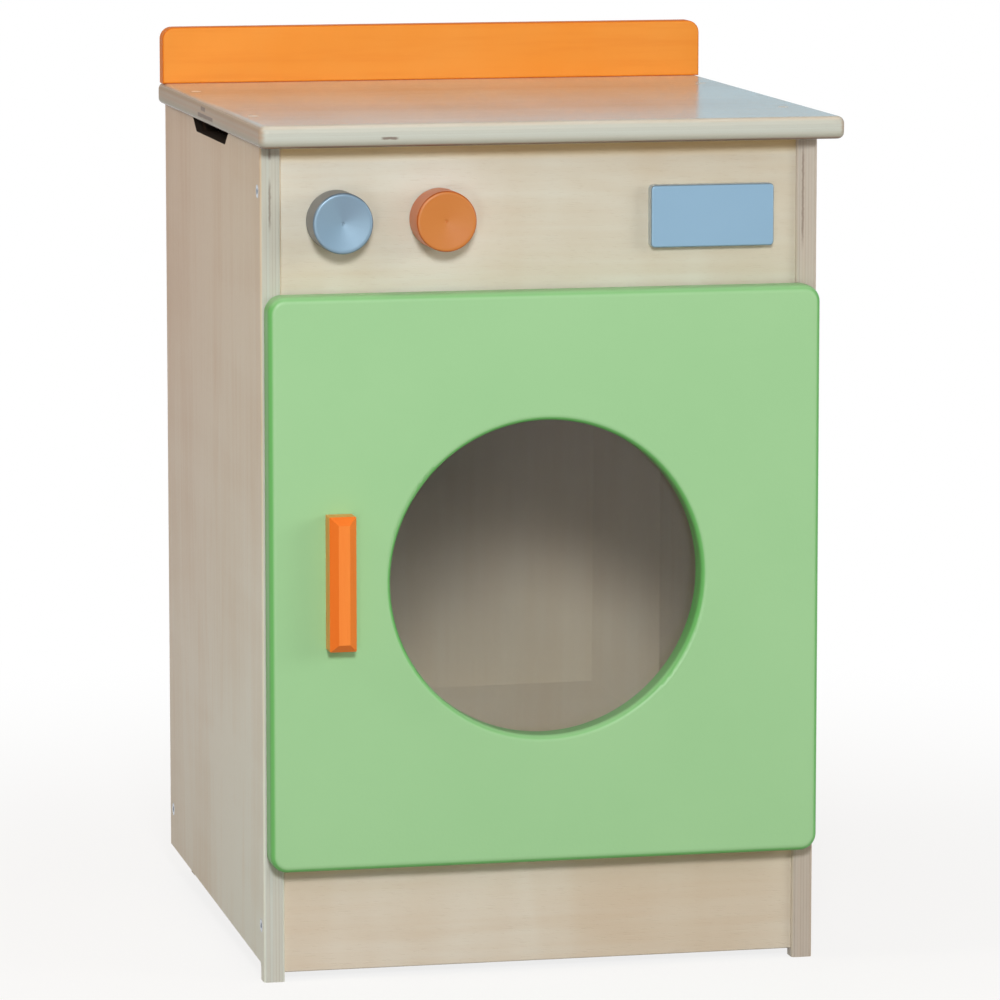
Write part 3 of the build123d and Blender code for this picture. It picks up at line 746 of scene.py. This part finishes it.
zinc = fitting("bright_zinc", steel, seen(196, 204, 214), 0.18)
slotFinish = {
    "zinc_screw": zinc,
    "hinge_steel": fitting("nickel_plate", steel, seen(190, 188, 182), 0.14),
    "white_nylon": fitting("white_nylon", plastic, seen(226, 226, 220), 0.39),
}
dress("catch_magnet", fitting("magnet_iron", steel, seen(74, 74, 78), 0.38))
for nodeName, slotName in slotOfNode.items():
    if slotName in slotFinish:
        dress(nodeName, slotFinish[slotName])
print("fittings done")


# Screws, with the recess that a driver fits. Where they sit, and how thick and long they are,
# comes from the model's plain ones
drives = {
    "hex": {"corners": 6, "reach": 0.46, "depth": 0.55, "taper": 1.0},
    "cross": {"arm": 0.16, "reach": 0.57, "depth": 0.6, "taper": 0.45},
}
screwSets = {
    "side_screws": "hex",
    "back_panel_screws": "cross",
    "pane_screws": "cross",
    "handle_screws": "cross",
    "hinge_frame_screws": "cross",
    "hinge_door_screws": "cross",
    "catch_screws": "cross",
    "striker_screw": "cross",
    "display_screws": "cross",
}
screwForm = {
    "segments": 40,
    "rim": 0.07,  # of the head's radius, the bevel of a flat head
    # a pan head's low dome and flat underside, in its radius and height
    "dome": [(0.68, 0.0), (0.84, -0.16), (0.94, -0.45), (1.0, -0.75), (1.0, -1.0)],
    # the thread, in the shank's radius
    "pitch": 0.9,
    "crest": 0.98,
    "root": 0.74,
    "threadFrom": 0.5,  # below the head
    "threadTo": 2.5,  # above the point's end
    "neck": (0.7, 1.5),  # radius where the point starts, and the point's length
    "tip": 0.06,
    # how deep a recess may go: by the head's height or its flare, whichever is more
    "heightShare": 1.2,
    "room": 1.6,
    "turnFrom": 0.4,  # radians: how far the first is screwed in, and each after it
    "turnBy": 1.9,
}
measuring = {
    "same": 1e-6,  # metres between corners that are one
    "headShare": 0.99,  # of the widest radius
    "shankFrom": 0.6,  # of the length
    "digits": 4,  # of a place in metres, when screws are put in order
}


def lowestCorner(points):
    return tuple(round(min(p[axis] for p in points), measuring["digits"]) for axis in range(3))


def loosePieces(node):
    # the corner points of each separate solid of a node, in the same order each time
    form = bmesh.new()
    form.from_mesh(nodes[node].data)
    bmesh.ops.remove_doubles(form, verts=form.verts, dist=measuring["same"])
    left = set(form.verts)
    pieces = []
    while left:
        front = [left.pop()]
        points = []
        while front:
            vert = front.pop()
            points.append(vert.co.copy())
            for edge in vert.link_edges:
                other = edge.other_vert(vert)
                if other in left:
                    left.remove(other)
                    front.append(other)
        pieces.append(points)
    form.free()
    return sorted(pieces, key=lowestCorner)


def measureScrew(points):
    # where the head's top is, which way it faces, and the plain screw's radii and lengths
    low = Vector([min(p[axis] for p in points) for axis in range(3)])
    high = Vector([max(p[axis] for p in points) for axis in range(3)])
    size = high - low
    long = max(range(3), key=lambda axis: size[axis])
    middle = (low + high) / 2

    def radius(point):
        away = point - middle
        away[long] = 0.0
        return away.length

    widest = max(radius(p) for p in points)
    headPoints = [p for p in points if radius(p) > widest * measuring["headShare"]]
    headEnd = 1 if sum(p[long] for p in headPoints) / len(headPoints) > middle[long] else -1
    top = middle.copy()
    top[long] = high[long] if headEnd > 0 else low[long]
    facing = Vector((0, 0, 0))
    facing[long] = headEnd
    headLow = max((top[long] - p[long]) * headEnd for p in headPoints)
    shankFrom = size[long] * measuring["shankFrom"]
    shank = [radius(p) for p in points if (top[long] - p[long]) * headEnd > shankFrom]
    return top, facing, widest, max(shank), size[long], headLow


def recessOutline(drive, headRadius):
    if "corners" in drive:
        turns = [math.tau * index / drive["corners"] for index in range(drive["corners"])]
        return [Vector((math.cos(t), math.sin(t), 0)) * headRadius * drive["reach"] for t in turns]
    arm, reach = drive["arm"] * headRadius, drive["reach"] * headRadius
    quarter = [Vector((reach, -arm, 0)), Vector((reach, arm, 0)), Vector((arm, arm, 0))]
    outline = []
    for turn in range(4):
        outline += [Matrix.Rotation(turn * math.pi / 2, 3, "Z") @ point for point in quarter]
    return outline


def makeRing(form, radius, height):
    verts = []
    for index in range(screwForm["segments"]):
        turn = math.tau * index / screwForm["segments"]
        verts.append(form.verts.new((radius * math.cos(turn), radius * math.sin(turn), height)))
    return verts


def bridge(form, upper, lower):
    # a band of faces between two rings of as many corners
    for index in range(len(upper)):
        after = (index + 1) % len(upper)
        form.faces.new((upper[index], lower[index], lower[after], upper[after]))


def ringEdges(form, verts):
    # the edges round a ring, made where there are none yet
    return [form.edges.get((a, b)) or form.edges.new((a, b)) for a, b in zip(verts, verts[1:] + verts[:1])]


def screwProfile(headRadius, shankRadius, length, headLow):
    # (radius, height) from the head's top, at height 0, down to the point
    rim = headRadius * screwForm["rim"]
    if headLow > rim:
        profile = [(headRadius * across, headLow * down) for across, down in screwForm["dome"]]
        profile.append((shankRadius, -headLow))
    else:
        profile = [(headRadius - rim, 0.0), (headRadius, -rim), (shankRadius, shankRadius - headRadius)]
    thread = profile[-1][1] - shankRadius * screwForm["threadFrom"]
    pitch = shankRadius * screwForm["pitch"]
    while thread > -length + shankRadius * screwForm["threadTo"]:
        profile.append((shankRadius * screwForm["crest"], thread))
        profile.append((shankRadius * screwForm["root"], thread - pitch * 0.5))
        thread -= pitch
    neckRadius, neckLength = screwForm["neck"]
    profile.append((shankRadius * neckRadius, -length + shankRadius * neckLength))
    profile.append((shankRadius * screwForm["tip"], -length))
    return profile


def buildScrew(form, place, drive, headRadius, shankRadius, length, headLow):
    own = bmesh.new()
    rings = [makeRing(own, *step) for step in screwProfile(headRadius, shankRadius, length, headLow)]
    for upper, lower in zip(rings, rings[1:]):
        bridge(own, upper, lower)
    own.faces.new(rings[-1][::-1])

    outline = recessOutline(drive, headRadius)
    room = max(headLow * screwForm["heightShare"], headRadius - shankRadius) * screwForm["room"]
    depth = drive["depth"] * min(headRadius, room)
    mouth = [own.verts.new(point) for point in outline]
    floor = [own.verts.new(point * drive["taper"] - Vector((0, 0, depth))) for point in outline]
    bmesh.ops.triangle_fill(
        own, use_beauty=True, edges=ringEdges(own, rings[0]) + ringEdges(own, mouth), normal=(0, 0, 1)
    )
    bridge(own, floor, mouth)
    own.faces.new(floor)
    bmesh.ops.recalc_face_normals(own, faces=own.faces)
    own.transform(place)
    mesh = bpy.data.meshes.new("part")
    own.to_mesh(mesh)
    own.free()
    form.from_mesh(mesh)
    bpy.data.meshes.remove(mesh)


def makePiece(name, form, material, body, sharpAngle=0.6):
    mesh = bpy.data.meshes.new(name)
    form.to_mesh(mesh)
    form.free()
    mesh.polygons.foreach_set("use_smooth", [True] * len(mesh.polygons))
    mesh.set_sharp_from_angle(angle=sharpAngle)
    mesh.materials.append(material)
    piece = bpy.data.objects.new(name, mesh)
    bpy.context.scene.collection.objects.link(piece)
    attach(piece, body)
    return piece


for nodeName, driveName in screwSets.items():
    form = bmesh.new()
    for number, points in enumerate(loosePieces(nodeName)):
        top, facing, headRadius, shankRadius, length, headLow = measureScrew(points)
        turn = Matrix.Rotation(screwForm["turnFrom"] + number * screwForm["turnBy"], 4, "Z")
        place = Matrix.Translation(top) @ facing.to_track_quat("Z", "Y").to_matrix().to_4x4() @ turn
        buildScrew(form, place, drives[driveName], headRadius, shankRadius, length, headLow)
    piece = makePiece(nodeName + "_" + driveName, form, zinc, bodyOfNode[nodeName])
    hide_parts(nodeName)
print("screws done")


# The clear pane stands a hair off the door's back, because two faces in one plane shade wrongly.
# It is thin acrylic with faint wiping marks and chamfered edges. Light from lamps and walls passes
# straight, and of what is seen through it most does, and the rest shows gloss
pane = {
    "gap": 0.0002,
    "chamfer": 0.0005,
    "corner": 0.012,
    "cornerSteps": 9,
    "hole": 0.0018,
    "holeSteps": 24,
    "colour": seen(238, 244, 246),
    "passing": seen(248, 250, 251),
    "straightShare": 0.6,
    "haze": {"stretch": (30.0, 30.0, 90.0), "detail": 3.0, "rough": 0.6},
    "hazeStep": (0.5, 0.8),
    "roughness": (0.02, 0.08),  # clean, and what the haze adds
    "ior": 1.49,
}


def clearSheet(name):
    finish = newFinish(name)
    haze = finish.noise(finish.coordinates(), **pane["haze"])
    clean, hazy = pane["roughness"]
    sockets = {
        "Base Color": opaque(pane["colour"]),
        "Roughness": finish.step(haze, *pane["hazeStep"]) * hazy + clean,
        "IOR": pane["ior"],
        "Transmission Weight": 1.0,
    }
    clear = finish.node("ShaderNodeBsdfPrincipled", sockets=sockets)
    passing = finish.node("ShaderNodeBsdfTransparent", sockets=[opaque(pane["passing"])])
    share = finish.rays("Is Shadow Ray", "Is Diffuse Ray").math("MAXIMUM", pane["straightShare"])
    return finish.output(finish.blend(share, clear, passing))


def circle(centre, radius, steps, start=0.0, turn=math.tau):
    # points round a circle, or round part of one with both its ends
    last = steps if turn == math.tau else steps - 1
    turns = [start + turn * index / last for index in range(steps)]
    return [centre + Vector((math.cos(t), math.sin(t))) * radius for t in turns]


def roundedSquare(half, corner, steps):
    # points round a square with rounded corners, as (across, up)
    points = []
    inner = half - corner
    for quarter in range(4):
        turn = quarter * math.pi / 2
        centre = Matrix.Rotation(turn, 2) @ Vector((inner, inner))
        points += circle(centre, corner, steps, turn, math.pi / 2)
    return points


def makePane():
    low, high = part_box("window_pane")
    middle = (low + high) / 2
    half = (high.x - low.x) / 2
    front, back, edge = low.y + pane["gap"], high.y, pane["chamfer"]
    holes = [measureScrew(points)[0] - middle for points in loosePieces("pane_screws")]
    form = bmesh.new()
    levels = []
    for depth, inset in ((front, edge), (front + edge, 0.0), (back - edge, 0.0), (back, edge)):
        outlines = [roundedSquare(half - inset, pane["corner"] - inset, pane["cornerSteps"])]
        for hole in holes:
            outlines.append(circle(Vector((hole.x, hole.z)), pane["hole"] + inset, pane["holeSteps"]))
        rings = []
        for outline in outlines:
            rings.append([form.verts.new((middle.x + p.x, depth, middle.z + p.y)) for p in outline])
        levels.append(rings)
    for upper, lower in zip(levels, levels[1:]):
        for upperRing, lowerRing in zip(upper, lower):
            bridge(form, upperRing, lowerRing)
    for rings in (levels[0], levels[-1]):
        edges = [side for ring in rings for side in ringEdges(form, ring)]
        bmesh.ops.triangle_fill(form, use_beauty=True, edges=edges)
    bmesh.ops.recalc_face_normals(form, faces=form.faces)
    body, slotName = bodyOfNode["window_pane"], slotOfNode["window_pane"]
    piece = makePiece("clear_window", form, clearSheet("clear_pane"), body)
    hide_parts("window_pane")


makePane()
print("pane done")


# Floor, walls, lamps and camera
white = (1.0, 1.0, 1.0, 1.0)
stageLook = {
    "floorRadius": 24.0,
    "floorSegments": 96,
    "floor": seen(240, 240, 240),
    "floorBounce": seen(150, 140, 128),  # the floor that lights the object from below
    "floorGlow": 0.82,  # share of the near floor that a camera sees as plain white
    "fade": (0.25, 1.2),  # metres from the middle, where the floor fades to white
    "world": (1.0, 0.74, 0.46),
    "worldStrength": 0.2,
    "leftGloss": (0.5, 0.45, 0.4),  # what gloss and clear sheet show of the room's walls
    "rightGloss": (0.5, 0.76, 0.93),
    "wallStep": (-0.15, 0.15),
    "ceilingGloss": (0.3, 0.29, 0.27),
    "ceilingStep": (0.25, 0.6),
}


def makeFloor():
    mesh = bpy.data.meshes.new("floor")
    form = bmesh.new()
    segments, radius = stageLook["floorSegments"], stageLook["floorRadius"]
    bmesh.ops.create_circle(form, cap_ends=True, segments=segments, radius=radius)
    form.to_mesh(mesh)
    form.free()
    floor = bpy.data.objects.new("floor", mesh)
    bpy.context.scene.collection.objects.link(floor)
    finish = newFinish("floor_pale")
    place = finish.split(finish.coordinates())
    away = (place[0] ** 2.0 + place[1] ** 2.0) ** 0.5
    fade = finish.step(away, *stageLook["fade"])
    glow = fade * (1 - stageLook["floorGlow"]) + stageLook["floorGlow"]
    glow = glow * finish.rays("Is Camera Ray", "Is Glossy Ray", "Is Transmission Ray")
    shade = finish.mix(finish.rays("Is Camera Ray"), stageLook["floorBounce"], stageLook["floor"])
    matt = finish.node("ShaderNodeBsdfDiffuse", sockets={"Color": shade})
    bright = finish.node("ShaderNodeEmission", sockets=[white, 1.0])
    mesh.materials.append(finish.output(finish.blend(glow, matt, bright)))


def makeWorld():
    world = bpy.data.worlds.new("studio")
    bpy.context.scene.world = world
    finish = Finish(world)
    aim = finish.split(finish.coordinates("Generated"))
    side = finish.step(aim[0], *stageLook["wallStep"])
    shown = finish.mix(side, stageLook["leftGloss"], stageLook["rightGloss"])
    shown = finish.mix(finish.step(aim[2], *stageLook["ceilingStep"]), shown, stageLook["ceilingGloss"])
    lights = ((opaque(stageLook["world"]), stageLook["worldStrength"]), (shown, 1.0), (white, 1.0))
    soft, room, plain = [finish.node("ShaderNodeBackground", sockets=list(light)) for light in lights]
    both = finish.blend(finish.rays("Is Glossy Ray", "Is Transmission Ray"), soft, room)
    both = finish.blend(finish.rays("Is Camera Ray"), both, plain)
    finish.output(both, "ShaderNodeOutputWorld")


# Azimuth is degrees to the right of the front, elevation degrees above level, and the rest metres
# and watts. A matte lamp adds no highlights, so the worktop doesn't mirror it
lamps = {
    "key": {"azimuth": -10, "elevation": 21, "distance": 3.2, "size": 0.5, "power": 50},
    "lowFill": {"azimuth": -22, "elevation": -1, "distance": 3.2, "size": 0.5, "power": 9},
    "leftFill": {
        "azimuth": -80,
        "elevation": 40,
        "distance": 3.0,
        "size": 0.9,
        "power": 21,
        "tint": (1.0, 0.89, 0.78),
    },
    "rightFill": {
        "azimuth": 55,
        "elevation": 15,
        "distance": 3.0,
        "size": 1.4,
        "power": 22,
        "tint": (1.0, 0.95, 0.88),
    },
    "topFill": {"azimuth": 0, "elevation": 78, "distance": 2.6, "size": 1.6, "power": 4},
    "backFill": {
        "azimuth": 180,
        "elevation": 6,
        "distance": 3.0,
        "size": 1.6,
        "power": 26,
        "matte": True,
    },
}


def aimed(turn, rise):
    # a step of one metre to the front, turned to the right and raised, in radians
    return Vector((math.sin(turn) * math.cos(rise), -math.cos(turn) * math.cos(rise), math.sin(rise)))


def makeLamps(middle):
    for name, lamp in lamps.items():
        light = bpy.data.lights.new(name, "AREA")
        light.shape = "DISK"
        light.size = lamp["size"]
        light.energy = lamp["power"]
        light.color = lamp.get("tint", (1.0, 1.0, 1.0))
        holder = bpy.data.objects.new(name, light)
        away = aimed(math.radians(lamp["azimuth"]), math.radians(lamp["elevation"]))
        holder.location = middle + away * lamp["distance"]
        holder.rotation_mode = "QUATERNION"
        holder.rotation_quaternion = (-away).to_track_quat("-Z", "Y")
        holder.visible_glossy = not lamp.get("matte", False)
        bpy.context.scene.collection.objects.link(holder)


view = {
    "target": Vector((-0.03377, -0.18025, 0.33884)),
    "azimuth": 0.21854,  # radians to the left of straight ahead
    "pitch": 0.14179,  # radians downwards
    "distance": 4.250,
    "lens": 217.49,
    "sensor": 36.0,
    "clip": (0.05, 60.0),
}


def makeCamera():
    data = bpy.data.cameras.new("camera")
    data.lens = view["lens"]
    data.sensor_width = view["sensor"]
    data.clip_start, data.clip_end = view["clip"]
    camera = bpy.data.objects.new("camera", data)
    turn, pitch = view["azimuth"], view["pitch"]
    camera.location = view["target"] + aimed(-turn, pitch) * view["distance"]
    camera.rotation_euler = (math.pi / 2 - pitch, 0, -turn)
    bpy.context.scene.collection.objects.link(camera)
    bpy.context.scene.camera = camera


makeFloor()
makeWorld()
makeLamps((cadBox[0] + cadBox[1]) / 2)
makeCamera()
bpy.context.scene.view_settings.view_transform = "Standard"
print("stage done")
